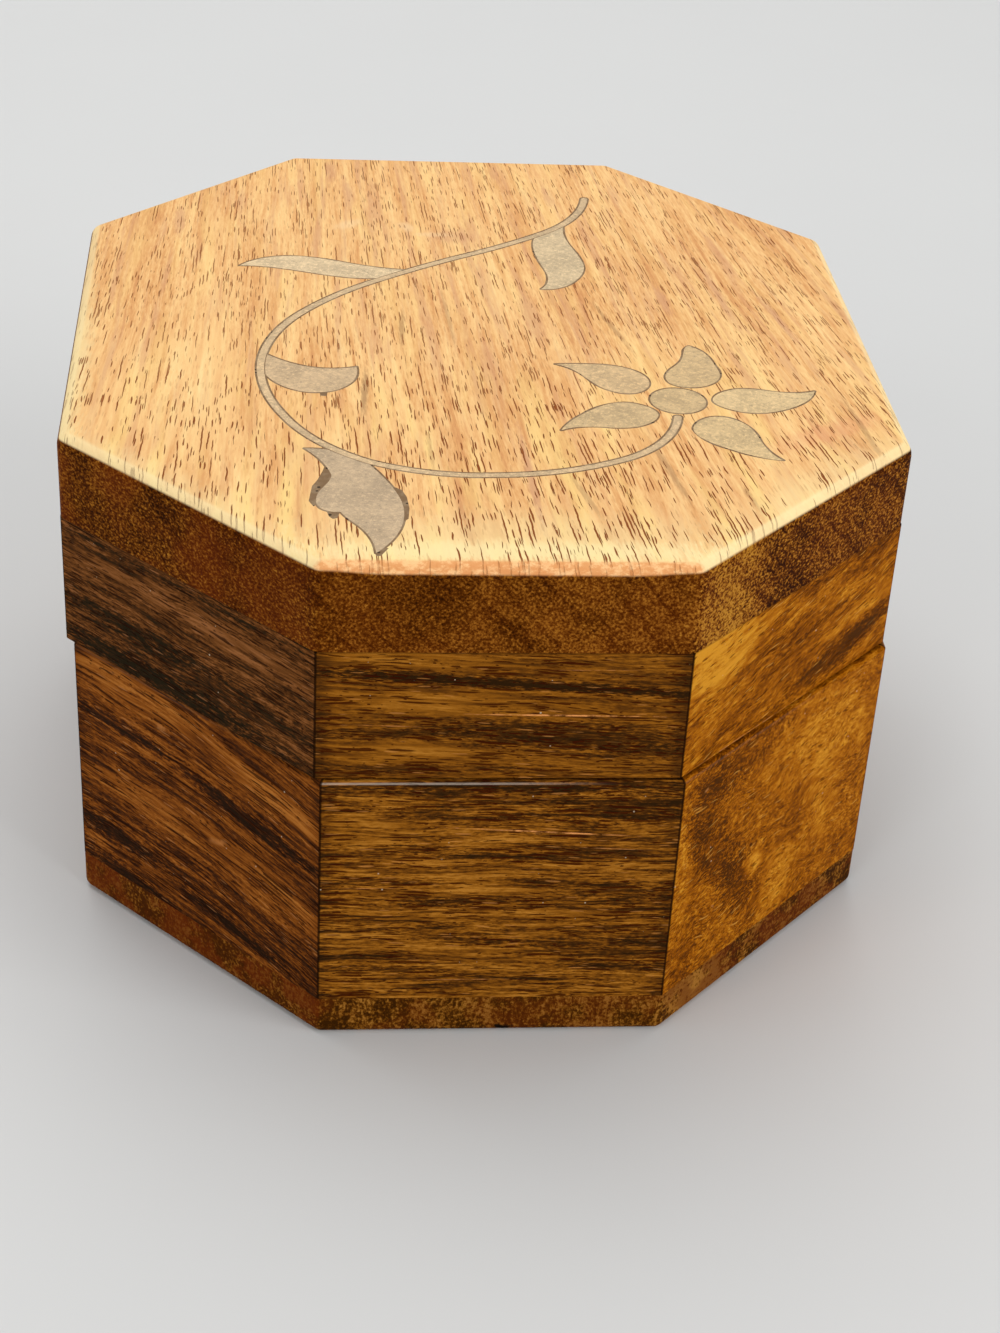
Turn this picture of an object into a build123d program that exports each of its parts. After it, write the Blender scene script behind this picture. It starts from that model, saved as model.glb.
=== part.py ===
from build123d import *
import math
import os

# Octagonal rosewood trinket box with a hinged lid inlaid with a brass vine and flower.
# Millimetres, +Z up. The origin is the centre of the underside, and the front faces -Y.
# The case is two stacks of eight mitred staves: one stands on the base board, the other
# hangs under the thick lid board. The lid turns on a small brass butt hinge at the back.

# Driving dimensions of the case
box_width = 100.0  # across the side faces of the body, X
box_depth = 118.0  # across the front and back faces of the body, Y
front_corner_cut = 29.3  # leg of each 45 degree corner at the front
back_corner_cut = 26.9  # the two back corners were sawn nearer the point
stave_thickness = 8.0
base_thickness = 5.5
body_wall_height = 31.5
lid_wall_height = 17.0
lid_board_thickness = 11.0
lid_oversize = 0.3  # the lid was sanded less than the body, on every side
lid_shift_x = -0.6  # the lid sits a little off the body
lid_shift_y = 0.7
stave_corner_radius = 0.6
seam_easing = 0.35
base_edge_radius = 1.2
base_corner_radius = 1.4
lid_edge_radius = 1.8
lid_corner_radius = 2.0

# Driving dimensions of the inlay
drawn_width = 100.0  # the vine is drawn for a box of this width and depth, and spreads with the lid
drawn_depth = 118.0
inlay_depth = 1.2
mastic_width = 0.25  # dark filler between the brass and the wood
brass_joint = 0.12  # filler between a leaf and the stem it springs from
stem_width = 0.9
stem_arcs = 10  # arcs that make up each edge of the stem
flower_centre = (23.3, -19.3)
flower_centre_radius = 3.4
longest_arc = 8.0  # of the arcs that make up the recess outline

# Driving dimensions of the hinge
hinge_inset = 1.0  # from the back face of the body to the hinge axis
hinge_length = 25.0
knuckle_count = 5
knuckle_gap = 0.15
barrel_radius = 1.6
pin_radius = 0.8
pin_clearance = 0.05
leaf_thickness = 1.0
leaf_sink = 0.05  # how far each leaf lies under the face of the wood
leaf_clearance = 0.1
barrel_clearance = 0.2
mortise_wall = 0.9  # wood left between a mortise and the inside of the lid
stop_bevel_angle = 50.0  # the lid stops where the two bevels meet, at twice this angle
screw_spacing = 16.0
screw_edge = 0.35  # brass left between a screw head and the edge of its leaf
screw_shank_share = 0.56  # shank radius as a share of the head's
screw_length = 7.0
screw_tip_length = 1.4
screw_tip_radius = 0.175
screw_sink_angle = 90.0
screw_clearance = 0.05
screw_slot_width = 0.35
screw_slot_depth = 0.35

# Places worked out from the driving dimensions
seam_z = base_thickness + body_wall_height
glue_z = seam_z + lid_wall_height
lid_top_z = glue_z + lid_board_thickness
axis_y = box_depth / 2 - hinge_inset
lid_inner_back_y = box_depth / 2 + lid_oversize + lid_shift_y - stave_thickness
leaf_inner_y = max(box_depth / 2 - stave_thickness, lid_inner_back_y) + mortise_wall + leaf_clearance
leaf_outer_y = axis_y - barrel_radius - barrel_clearance
leaf_middle_y = (leaf_inner_y + leaf_outer_y) / 2
screw_head_radius = (leaf_outer_y - leaf_inner_y) / 2 - screw_edge
screw_shank_radius = screw_head_radius * screw_shank_share
screw_head_depth = (screw_head_radius - screw_shank_radius) / math.tan(math.radians(screw_sink_angle / 2))
knuckle_length = hinge_length / knuckle_count - knuckle_gap
bevel_reach = hinge_inset + lid_oversize + lid_shift_y + stave_thickness

side_names = ["front", "front_right", "right", "back_right", "back", "back_left", "left", "front_left"]
back_sides = ["back_right", "back", "back_left"]

# Outlines of the inlay, in the lid's own plane. Each run is a smooth line through its points,
# and runs meet at a sharp corner. A leaf runs on under the stem, which then trims it.
stem_points = [
    (22.7, -23.7), (18.3, -32.1), (12.6, -35.9), (5.4, -38.2), (-1.5, -38.9), (-7.7, -38.4),
    (-14.5, -36.0), (-19.5, -32.0), (-23.6, -26.0), (-26.2, -19.1), (-27.1, -12.8), (-26.6, -6.6),
    (-24.4, 0.2), (-19.0, 8.3), (-9.0, 17.3), (2.1, 25.0), (10.8, 31.4), (15.9, 37.5), (18.3, 44.6),
]
leaf_outlines = {
    "slender": [
        [(-30.1, 18.8), (-27.2, 21.3), (-23.5, 22.3), (-18.4, 21.3), (-12.6, 19.2), (-7.6, 18.4)],
        [(-7.6, 18.4), (-11.7, 15.6)],
        [(-11.7, 15.6), (-15.4, 15.5), (-19.8, 16.6), (-24.1, 18.0), (-30.1, 18.8)],
    ],
    "crescent": [
        [(-26.9, -7.5), (-25.0, -9.3), (-21.4, -11.4), (-17.7, -11.8), (-15.4, -11.2)],
        [(-15.4, -11.2), (-15.5, -13.8), (-16.5, -16.3), (-18.4, -17.9), (-21.2, -18.4),
         (-24.4, -16.8), (-26.7, -12.7)],
        [(-26.7, -12.7), (-26.9, -7.5)],
    ],
    "lobed": [
        [(-21.9, -32.9), (-20.4, -35.1), (-19.5, -37.1), (-18.9, -39.3)],
        [(-18.9, -39.3), (-19.4, -41.2), (-20.3, -43.1), (-20.7, -45.2), (-20.3, -46.9),
         (-19.2, -47.7), (-18.0, -47.8)],
        [(-18.0, -47.8), (-17.1, -49.5), (-16.0, -51.1), (-15.1, -53.0), (-14.4, -56.8)],
        [(-14.4, -56.8), (-12.6, -54.1), (-11.3, -50.4), (-11.1, -46.1), (-12.4, -41.2),
         (-14.9, -35.9)],
        [(-14.9, -35.9), (-18.1, -33.5), (-21.9, -32.9)],
    ],
    "upper": [
        [(10.3, 31.2), (9.5, 26.9), (10.1, 20.9), (10.6, 16.0), (9.4, 13.0)],
        [(9.4, 13.0), (11.4, 13.2), (14.5, 16.3), (15.8, 20.2), (15.3, 24.9), (14.3, 29.6),
         (15.2, 36.7)],
        [(15.2, 36.7), (10.3, 31.2)],
    ],
}
petal_outlines = {
    "upper_left": [(9.2, -9.6), (14.4, -9.5), (18.9, -11.1), (20.4, -14.2), (18.5, -17.3),
                   (15.4, -16.9), (12.5, -13.0), (9.2, -9.6)],
    "right": [(40.7, -16.1), (35.1, -16.3), (30.8, -15.9), (27.6, -19.1), (30.6, -22.0),
              (35.3, -21.7), (40.7, -16.1)],
    "lower_right": [(33.7, -34.4), (31.8, -29.4), (30.4, -25.0), (27.3, -23.4), (24.2, -26.4),
                    (27.4, -31.5), (33.7, -34.4)],
    "lower_left": [(8.3, -27.5), (12.6, -21.9), (17.2, -20.0), (20.4, -22.8), (17.6, -26.3),
                   (12.8, -26.5), (8.3, -27.5)],
}
top_petal_outline = [
    (27.0, -3.9), (28.3, -5.4), (29.3, -9.3), (29.4, -12.6), (27.7, -14.9), (25.3, -15.6),
    (23.0, -14.6), (22.7, -12.2), (24.2, -9.6), (25.6, -6.6),
]

# Places where the recess was cut too wide and is filled with mastic
notch_mastic = [
    (-19.6, -36.9), (-19.9, -38.4), (-20.5, -40.5), (-21.1, -41.9), (-21.3, -43.6), (-21.5, -45.4),
    (-21.0, -46.6), (-19.0, -45.0), (-18.5, -40.0),
]
lobe_mastic = [(-19.7, -47.0), (-19.3, -48.9), (-18.9, -49.4), (-18.4, -49.2), (-18.0, -47.5)]
tip_mastic = [(-14.6, -56.5), (-14.4, -57.4), (-13.9, -57.4), (-13.0, -55.7), (-13.8, -55.5)]
edge_mastic = [
    (-12.1, -41.8), (-11.1, -42.6), (-10.6, -44.2), (-10.4, -46.8), (-10.6, -49.2), (-11.2, -49.9),
    (-12.5, -47.0),
]
crescent_mastic = [(-20.1, -17.9), (-19.9, -19.3), (-19.2, -19.4), (-18.9, -17.6)]
mastic_patches = [notch_mastic, lobe_mastic, tip_mastic, edge_mastic, crescent_mastic]

# Planes of the lid, which sits a little off the body
lid_seam_plane = Plane((lid_shift_x, lid_shift_y, seam_z))
lid_glue_plane = Plane((lid_shift_x, lid_shift_y, glue_z))
lid_top_plane = Plane((lid_shift_x, lid_shift_y, lid_top_z))


def save(builder, name):
    """Label a finished piece and write its STEP file."""
    builder.part.label = name
    export_step(builder.part, f"parts/{name}.step")


def octagon(grow):
    """Corners of the case outline, offset outwards by grow, from the front left corner."""
    half_x = box_width / 2 + grow
    half_y = box_depth / 2 + grow
    front_cut = front_corner_cut + grow * (2 - math.sqrt(2))
    back_cut = back_corner_cut + grow * (2 - math.sqrt(2))
    return [
        (-half_x + front_cut, -half_y), (half_x - front_cut, -half_y),
        (half_x, -half_y + front_cut), (half_x, half_y - back_cut),
        (half_x - back_cut, half_y), (-half_x + back_cut, half_y),
        (-half_x, half_y - back_cut), (-half_x, -half_y + front_cut),
    ]


def case_outline(grow, corner_radius):
    """The whole octagon with its corners eased."""
    with BuildSketch() as outline:
        with BuildLine():
            Polyline(*octagon(grow), close=True)
        make_face()
        fillet(outline.vertices(), corner_radius)
    return outline.sketch


def stop_bevel(direction):
    """The wedge behind the hinge axis, above the seam for the lid and below it for the body."""
    drop = direction * bevel_reach * math.tan(math.radians(stop_bevel_angle))
    with BuildPart() as wedge:
        with BuildSketch(Plane.YZ.offset(-box_width / 2)):
            with BuildLine():
                Polyline(
                    (axis_y, seam_z),
                    (axis_y + bevel_reach, seam_z),
                    (axis_y + bevel_reach, seam_z + drop),
                    close=True,
                )
            make_face()
        extrude(amount=box_width)
    return wedge.part


def hinge_seat(direction):
    """Wood taken out for one leaf, the barrel and the two screws of that leaf."""
    floor_z = seam_z + direction * (leaf_sink + leaf_thickness)
    with BuildPart() as seat:
        with BuildSketch(Plane.XY.offset(seam_z)):
            with Locations((0, (leaf_inner_y - leaf_clearance + axis_y) / 2)):
                Rectangle(hinge_length + 2 * leaf_clearance, axis_y - leaf_inner_y + leaf_clearance)
        extrude(amount=floor_z - seam_z)
        with BuildSketch(Plane.YZ.offset(-hinge_length / 2 - leaf_clearance)):
            with Locations((axis_y, seam_z)):
                Circle(barrel_radius + barrel_clearance)
        extrude(amount=hinge_length + 2 * leaf_clearance)
        with BuildSketch(Plane.XY.offset(seam_z)):
            with Locations((0, leaf_middle_y)):
                with GridLocations(screw_spacing, 1, 2, 1):
                    Circle(screw_shank_radius + screw_clearance)
        extrude(amount=direction * (screw_length + leaf_sink + screw_clearance))
    return seat.part


def make_stave(name, plane, height, grow, direction):
    """One mitred stave. Direction is -1 under the seam, in the body, and 1 above it, in the lid."""
    side = side_names.index(name)
    outer = octagon(grow)
    inner = octagon(grow - stave_thickness)
    after = (side + 1) % len(outer)
    outward = (Vector(*outer[after]) - Vector(*outer[side])).cross(Vector(0, 0, 1))
    seam_end = -1 if direction < 0 else 0
    with BuildPart() as stave:
        with BuildSketch(plane):
            with BuildLine():
                Polyline(outer[side], outer[after], inner[after], inner[side], close=True)
            make_face()
            add(case_outline(grow, stave_corner_radius), mode=Mode.INTERSECT)
        extrude(amount=height)
        seam_edges = stave.edges().group_by(Axis.Z)[seam_end]
        outer_edges = seam_edges.sort_by(Axis((0, 0, 0), outward))[-3:]
        chamfer(outer_edges, seam_easing)
        if name in back_sides:
            add(stop_bevel(direction), mode=Mode.SUBTRACT)
            add(hinge_seat(direction), mode=Mode.SUBTRACT)
    return stave


def make_hinge_leaf(direction, first_knuckle):
    """A leaf with every second knuckle. Its countersunk holes open towards the seam."""
    face_z = seam_z + direction * leaf_sink
    with BuildPart() as leaf:
        with BuildSketch(Plane.XY.offset(face_z)):
            with Locations((0, leaf_middle_y)):
                Rectangle(hinge_length, leaf_outer_y - leaf_inner_y)
        extrude(amount=direction * leaf_thickness)
        for knuckle in range(first_knuckle, knuckle_count, 2):
            start_x = -hinge_length / 2 + knuckle * hinge_length / knuckle_count + knuckle_gap / 2
            with BuildSketch(Plane.YZ.offset(start_x)):
                with Locations(((leaf_outer_y + axis_y) / 2, face_z + direction * leaf_thickness / 2)):
                    Rectangle(axis_y - leaf_outer_y, leaf_thickness)
                with Locations((axis_y, seam_z)):
                    Circle(barrel_radius)
            extrude(amount=knuckle_length)
        with BuildSketch(Plane.YZ.offset(-hinge_length / 2)):
            with Locations((axis_y, seam_z)):
                Circle(pin_radius + pin_clearance)
        extrude(amount=hinge_length, mode=Mode.SUBTRACT)
        with Locations(Plane((0, leaf_middle_y, face_z), z_dir=(0, 0, -direction))):
            with GridLocations(screw_spacing, 1, 2, 1):
                CounterSinkHole(
                    radius=screw_shank_radius + screw_clearance,
                    counter_sink_radius=screw_head_radius + screw_clearance,
                    counter_sink_angle=screw_sink_angle,
                )
    return leaf


def make_hinge_screws(direction):
    """The two countersunk screws of one leaf, their slotted heads towards the seam."""
    seated = (Align.CENTER, Align.CENTER, Align.MIN)
    straight_length = screw_length - screw_tip_length
    face_z = seam_z + direction * leaf_sink
    face_plane = Plane((0, leaf_middle_y, face_z), x_dir=(1, 0, 0), z_dir=(0, 0, direction))
    with BuildPart() as screws:
        with Locations(face_plane):
            with GridLocations(screw_spacing, 1, 2, 1):
                Cone(screw_head_radius, screw_shank_radius, screw_head_depth, align=seated)
                Cylinder(screw_shank_radius, straight_length, align=seated)
        with Locations(face_plane.offset(straight_length)):
            with GridLocations(screw_spacing, 1, 2, 1):
                Cone(screw_shank_radius, screw_tip_radius, screw_tip_length, align=seated)
        with Locations(face_plane):
            with GridLocations(screw_spacing, 1, 2, 1):
                Box(
                    2 * screw_head_radius, screw_slot_width, screw_slot_depth,
                    align=seated, mode=Mode.SUBTRACT,
                )
    return screws


def on_lid(points):
    """Points of the drawn vine, spread to the size of this lid."""
    return [(x * box_width / drawn_width, y * box_depth / drawn_depth) for x, y in points]


def runs_face(runs):
    """A flat face bounded by smooth runs that meet at sharp corners."""
    with BuildSketch() as face:
        with BuildLine():
            for run in runs:
                if len(run) == 2:
                    Line(*on_lid(run))
                else:
                    Spline(*on_lid(run))
        make_face()
    return face.sketch


def arcs_beside(curve, distance, arc_count):
    """Arcs, end to end, that follow a curve at a distance to its left."""
    spots = [step / (2 * arc_count) for step in range(2 * arc_count + 1)]
    points = [curve @ spot + (curve % spot).rotate(Axis.Z, 90) * distance for spot in spots]
    return [ThreePointArc(*points[first:first + 3]) for first in range(0, 2 * arc_count, 2)]


def grown_face(face, grow):
    """A face grown on every side and redrawn in arcs."""
    grown = offset(face, amount=grow)
    with BuildSketch() as redrawn:
        with BuildLine():
            for edge in grown.edges():
                if edge.geom_type == GeomType.LINE:
                    Line(edge @ 0, edge @ 1)
                else:
                    arcs_beside(edge, 0, math.ceil(edge.length / longest_arc))
        make_face()
    return redrawn.sketch


def stem_face(grow):
    """The stem as a ribbon along its centreline, with round ends."""
    centreline = Edge.make_spline([Vector(*point) for point in on_lid(stem_points)])
    half_width = stem_width / 2 + grow
    with BuildSketch() as stem:
        with BuildLine():
            left = arcs_beside(centreline, half_width, stem_arcs)
            right = arcs_beside(centreline, -half_width, stem_arcs)
            ThreePointArc(left[0] @ 0, centreline @ 0 - centreline % 0 * half_width, right[0] @ 0)
            ThreePointArc(left[-1] @ 1, centreline @ 1 + centreline % 1 * half_width, right[-1] @ 1)
        make_face()
    return stem.sketch


def leaf_face(runs):
    """A leaf, trimmed where the stem passes it."""
    stem_joint = stem_face(brass_joint)
    with BuildSketch() as leaf:
        add(runs_face(runs))
        add(stem_joint, mode=Mode.SUBTRACT)
    return leaf.sketch


def brass_faces():
    """Every brass piece of the inlay by the name of its node."""
    with BuildSketch() as centre:
        with Locations(*on_lid([flower_centre])):
            Circle(flower_centre_radius)
    with BuildSketch() as top_petal:
        with BuildLine():
            Spline(*on_lid(top_petal_outline), periodic=True)
        make_face()
    faces = {"inlay_stem": stem_face(0), "inlay_flower_centre": centre.sketch}
    for name, runs in leaf_outlines.items():
        faces[f"inlay_leaf_{name}"] = leaf_face(runs)
    for name, outline in petal_outlines.items():
        faces[f"inlay_petal_{name}"] = runs_face([outline])
    faces["inlay_petal_top"] = top_petal.sketch
    return faces


os.makedirs("parts", exist_ok=True)

# Base board
with BuildPart() as base_board:
    with BuildSketch():
        add(case_outline(0, base_corner_radius))
    extrude(amount=base_thickness)
    fillet(base_board.edges().group_by(Axis.Z)[0], base_edge_radius)
save(base_board, "base_board")

# Staves of the body and the lid
for side_name in side_names:
    body_stave = make_stave(side_name, Plane.XY.offset(base_thickness), body_wall_height, 0, -1)
    save(body_stave, f"body_stave_{side_name}")
    lid_stave = make_stave(side_name, lid_seam_plane, lid_wall_height, lid_oversize, 1)
    save(lid_stave, f"lid_stave_{side_name}")

# Brass inlay
inlay_faces = brass_faces()
for inlay_name, inlay_face in inlay_faces.items():
    with BuildPart() as inlay_piece:
        with BuildSketch(lid_top_plane):
            add(inlay_face)
        extrude(amount=-inlay_depth)
    save(inlay_piece, inlay_name)

# Recess cut for the inlay, wider than the brass by the mastic
recess_faces = [stem_face(mastic_width)]
for inlay_name, inlay_face in inlay_faces.items():
    if inlay_name != "inlay_stem":
        recess_faces.append(grown_face(inlay_face, mastic_width))
with BuildSketch() as recess:
    add(recess_faces)
    for patch in mastic_patches:
        with BuildLine():
            Polyline(*on_lid(patch), close=True)
        make_face()

# Mastic between the brass and the wood
with BuildPart() as inlay_filler:
    with BuildSketch(lid_top_plane):
        add(recess.sketch)
        for inlay_face in inlay_faces.values():
            add(inlay_face, mode=Mode.SUBTRACT)
    extrude(amount=-inlay_depth)
save(inlay_filler, "inlay_filler")

# Lid board
with BuildPart() as lid_board:
    with BuildSketch(lid_glue_plane):
        add(case_outline(lid_oversize, lid_corner_radius))
    extrude(amount=lid_board_thickness)
    fillet(lid_board.edges().group_by(Axis.Z)[-1], lid_edge_radius)
    with BuildSketch(lid_top_plane):
        add(recess.sketch)
    extrude(amount=-inlay_depth, mode=Mode.SUBTRACT)
save(lid_board, "lid_board")

# Hinge, its pin on the seam plane behind the staves
hinge_leaf_body = make_hinge_leaf(-1, 0)
save(hinge_leaf_body, "hinge_leaf_body")
hinge_leaf_lid = make_hinge_leaf(1, 1)
save(hinge_leaf_lid, "hinge_leaf_lid")
hinge_screws_body = make_hinge_screws(-1)
save(hinge_screws_body, "hinge_screws_body")
hinge_screws_lid = make_hinge_screws(1)
save(hinge_screws_lid, "hinge_screws_lid")
with BuildPart() as hinge_pin:
    with BuildSketch(Plane.YZ.offset(-hinge_length / 2)):
        with Locations((axis_y, seam_z)):
            Circle(pin_radius)
    extrude(amount=hinge_length)
save(hinge_pin, "hinge_pin")
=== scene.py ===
import math

import bpy
import mathutils
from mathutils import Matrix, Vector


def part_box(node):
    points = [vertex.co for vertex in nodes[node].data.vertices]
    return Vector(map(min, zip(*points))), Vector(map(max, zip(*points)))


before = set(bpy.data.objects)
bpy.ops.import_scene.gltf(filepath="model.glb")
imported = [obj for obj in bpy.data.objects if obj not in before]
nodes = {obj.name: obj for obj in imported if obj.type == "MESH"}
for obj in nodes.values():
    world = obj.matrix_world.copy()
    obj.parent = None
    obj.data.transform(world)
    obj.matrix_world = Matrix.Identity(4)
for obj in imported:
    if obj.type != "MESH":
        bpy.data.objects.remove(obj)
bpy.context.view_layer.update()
millimetre = 0.001
frontLeft, frontRight = (-0.707, -0.707, 0), (0.707, -0.707, 0)  # where two of the sides face
farOff = 1000.0  # a size that makes a pattern flat in one direction
print("frame loaded,", len(nodes), "nodes")


def tint(red, green, blue):  # a screen colour as the linear one that shaders use
    linear = []
    for value in (red, green, blue):
        share = value / 255
        linear.append(share / 12.92 if share <= 0.04045 else ((share + 0.055) / 1.055) ** 2.4)
    return (*linear, 1.0)


class Wire:  # a shader socket that adds and multiplies like a number
    def __init__(self, tree, socket):
        self.tree = tree
        self.socket = socket

    def join(self, operation, first, second):
        maths = self.tree.nodes.new("ShaderNodeMath")
        maths.operation = operation
        for slot, value in zip(maths.inputs, (first, second)):
            if isinstance(value, Wire):
                self.tree.links.new(value.socket, slot)
            else:
                slot.default_value = value
        return Wire(self.tree, maths.outputs[0])

    def __add__(self, other):
        return self.join("ADD", self, other)

    def __radd__(self, other):
        return self.join("ADD", other, self)

    def __sub__(self, other):
        return self.join("SUBTRACT", self, other)

    def __rsub__(self, other):
        return self.join("SUBTRACT", other, self)

    def __mul__(self, other):
        return self.join("MULTIPLY", self, other)

    def __rmul__(self, other):
        return self.join("MULTIPLY", other, self)

    def __abs__(self):
        return self.join("ABSOLUTE", self, 0.0)


class Patch:  # the nodes of one material, or of the world
    def __init__(self, tree):
        self.tree = tree
        self.tree.nodes.clear()

    def node(self, kind, settings, values, out=0):
        made = self.tree.nodes.new("ShaderNode" + kind)
        for key, value in settings.items():
            if key == "stops":
                ramp = made.color_ramp
                while len(ramp.elements) < len(value):
                    ramp.elements.new(1.0)
                for element, (spot, colour) in zip(ramp.elements, value):
                    element.position = spot
                    element.color = colour
            else:
                setattr(made, key, value)
        for key, value in values.items():
            if isinstance(value, Wire):
                self.tree.links.new(value.socket, made.inputs[key])
            else:
                made.inputs[key].default_value = value
        return Wire(self.tree, made.outputs[out]) if len(made.outputs) else None

    def place(self, origin=(0, 0, 0), turn=0.0):  # object coordinates in millimetres, turned about Z
        where = self.node("TexCoord", {}, {}, "Object")
        return self.node("Mapping", {"vector_type": "TEXTURE"}, {
            "Vector": where, "Location": origin, "Rotation": (0, 0, turn), "Scale": (millimetre,) * 3})

    def axis(self, point, letter):
        return self.node("SeparateXYZ", {}, {0: point}, letter)

    def point(self, x, y, z):
        return self.node("CombineXYZ", {}, {0: x, 1: y, 2: z})

    def facing(self, direction):  # 1 where the surface faces along the direction, -1 where it faces away
        normal = self.node("TexCoord", {}, {}, "Normal")
        return self.node("VectorMath", {"operation": "DOT_PRODUCT"}, {0: normal, 1: direction}, "Value")

    def side(self, direction):  # 1 on the side that faces along the direction, 0 on all others
        return self.step(self.facing(direction), 0.80, 0.95)

    def stretch(self, point, sizes, shift):
        scale = tuple(1 / size for size in sizes)
        return self.node("VectorMath", {"operation": "MULTIPLY_ADD"}, {0: point, 1: scale, 2: shift})

    def noise(self, point, sizes, detail=2.0, rough=0.5, shift=(0, 0, 0)):
        return self.node("TexNoise", {}, {
            "Vector": self.stretch(point, sizes, shift), "Scale": 1.0, "Detail": detail, "Roughness": rough})

    def bands(self, point, sizes, low, high, shift=(0, 0, 0), detail=2.0, rough=0.6):  # soft-edged bands
        return self.step(self.noise(point, sizes, detail, rough, shift), low, high)

    def sway(self, point, sizes, amount):  # the point moved about by a slow noise
        drift = self.node("TexNoise", {}, {
            "Vector": self.stretch(point, sizes, (3, 1, 4)), "Scale": 1.0, "Detail": 1.0}, "Color")
        return self.node("VectorMath", {"operation": "MULTIPLY_ADD"}, {0: drift, 1: amount, 2: point})

    def dashes(self, point, sizes, share, radius, shift=(0, 0, 0)):  # soft strokes in a share of the cells
        at = {"Vector": self.stretch(point, sizes, shift), "Scale": 1.0}
        gap = self.node("TexVoronoi", {"voronoi_dimensions": "2D"}, at, "Distance")
        number = self.node("TexVoronoi", {"voronoi_dimensions": "2D"}, at, "Color")
        size = radius * (0.45 + 0.85 * self.axis(number, "X"))  # no two strokes are the same size
        taken = self.step(self.axis(number, "Y"), 1 - share, 1.02 - share)
        return self.step(size - gap, 0.0, 0.4 * radius) * taken

    def mark(self, point, spot, reach, turn, ragged):  # 1 inside a soft ragged oval, 0 outside
        oval = self.node("Mapping", {"vector_type": "TEXTURE"}, {
            "Vector": point, "Location": (*spot, 0), "Rotation": (0, 0, math.radians(turn)),
            "Scale": (*reach, farOff)})
        gap = self.node("VectorMath", {"operation": "LENGTH"}, {0: oval}, "Value")
        return self.step(gap + ragged, 1.4, 0.4)

    def marks(self, point, plans, ragged):  # the sum of the marks, each times its strength
        total = 0.0
        for spot, reach, turn, strength in plans:
            total = total + strength * self.mark(point, spot, reach, turn, ragged)
        return total

    def step(self, value, low, high):  # a soft step from 0 at low to 1 at high
        return self.node("MapRange", {"interpolation_type": "SMOOTHSTEP"}, {
            "Value": value, "From Min": low, "From Max": high})

    def ramp(self, value, stops):
        return self.node("ValToRGB", {"stops": stops}, {"Fac": value})

    def blend(self, factor, first, second):  # of two colours
        return self.node("Mix", {"data_type": "RGBA"}, {0: factor, 6: first, 7: second}, 2)


class Finish(Patch):  # one material
    def __init__(self, name):
        self.material = bpy.data.materials.new(name)
        self.material.use_nodes = True
        super().__init__(self.material.node_tree)

    def cover(self, colour, roughness, height, relief, **constants):  # relief is in millimetres
        bump = self.node("Bump", {}, {"Height": height, "Distance": relief * millimetre})
        shader = self.node("BsdfPrincipled", {}, {
            "Base Color": colour, "Roughness": roughness, "Normal": bump})
        for key, value in constants.items():
            shader.socket.node.inputs[key.replace("_", " ")].default_value = value
        self.node("OutputMaterial", {}, {"Surface": shader})
        return self.material


# camera: a little above the box and to its left, turned to the right
cameraPlan = {
    "place": (-24.93, -285.00, 196.98),  # millimetres
    "heading": 6.807,  # degrees to the right of straight back
    "dip": 32.953,  # degrees below level
    "roll": 3.860,
    "sensor": 36.0,
    "focal": 2.4625,  # in widths of the sensor
    "shift": (-0.0286, 0.0236),
    "near": 0.01,  # metres
}


def setCamera(plan):
    camera = bpy.data.objects.new("view", bpy.data.cameras.new("view"))
    bpy.context.scene.collection.objects.link(camera)
    camera.data.sensor_fit = "HORIZONTAL"
    camera.data.sensor_width = plan["sensor"]
    camera.data.lens = plan["sensor"] * plan["focal"]
    camera.data.shift_x, camera.data.shift_y = plan["shift"]
    camera.data.clip_start = plan["near"]
    camera.location = [value * millimetre for value in plan["place"]]
    heading = mathutils.Matrix.Rotation(-math.radians(plan["heading"]), 4, "Z")
    dip = mathutils.Matrix.Rotation(math.radians(90 - plan["dip"]), 4, "X")
    roll = mathutils.Matrix.Rotation(math.radians(plan["roll"]), 4, "Z")
    camera.rotation_euler = (heading @ dip @ roll).to_euler()
    bpy.context.scene.camera = camera


# light: a soft lamp overhead and behind, one on each side in front, and a pale room
lampPlans = {
    "overhead": {"place": (-0.10, 0.35, 0.95), "size": 0.9, "power": 5.8},
    "frontLeft": {"place": (-0.80, -0.90, 0.55), "size": 0.8, "power": 4.4},
    "frontRight": {"place": (0.95, -0.70, 0.50), "size": 0.8, "power": 7.8},
}
lampTarget = (0, 0, 0.03)
roomPlan = {"seen": (0.86, 0.87, 0.88, 1.0), "glow": 0.42}
floorPlan = {
    "span": 12.0,
    "colour": (0.70, 0.70, 0.69, 1.0), "dark": (0, 0, 0, 1), "fleck": 0.02, "fleckSize": (40, 40, 40),
    "rough": 0.7, "relief": 0.02, "shine": 0.2,
}


def setLamps(plans):
    for name, plan in plans.items():
        lamp = bpy.data.objects.new(name, bpy.data.lights.new(name, "AREA"))
        bpy.context.scene.collection.objects.link(lamp)
        lamp.data.size = plan["size"]
        lamp.data.energy = plan["power"]
        lamp.location = plan["place"]
        aim = mathutils.Vector(lampTarget) - lamp.location
        lamp.rotation_euler = aim.to_track_quat("-Z", "Y").to_euler()


def setRoom(plan):
    world = bpy.data.worlds.new("room")
    bpy.context.scene.world = world
    world.use_nodes = True
    patch = Patch(world.node_tree)
    camera = patch.node("LightPath", {}, {}, "Is Camera Ray")
    glossy = patch.node("LightPath", {}, {}, "Is Glossy Ray")
    clear = patch.node("LightPath", {}, {}, "Is Transmission Ray")
    seen = camera.join("MAXIMUM", camera.join("MAXIMUM", camera, glossy), clear)
    strength = seen + (1 - seen) * plan["glow"]
    room = patch.node("Background", {}, {"Color": plan["seen"], "Strength": strength})
    patch.node("OutputWorld", {}, {"Surface": room})


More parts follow.
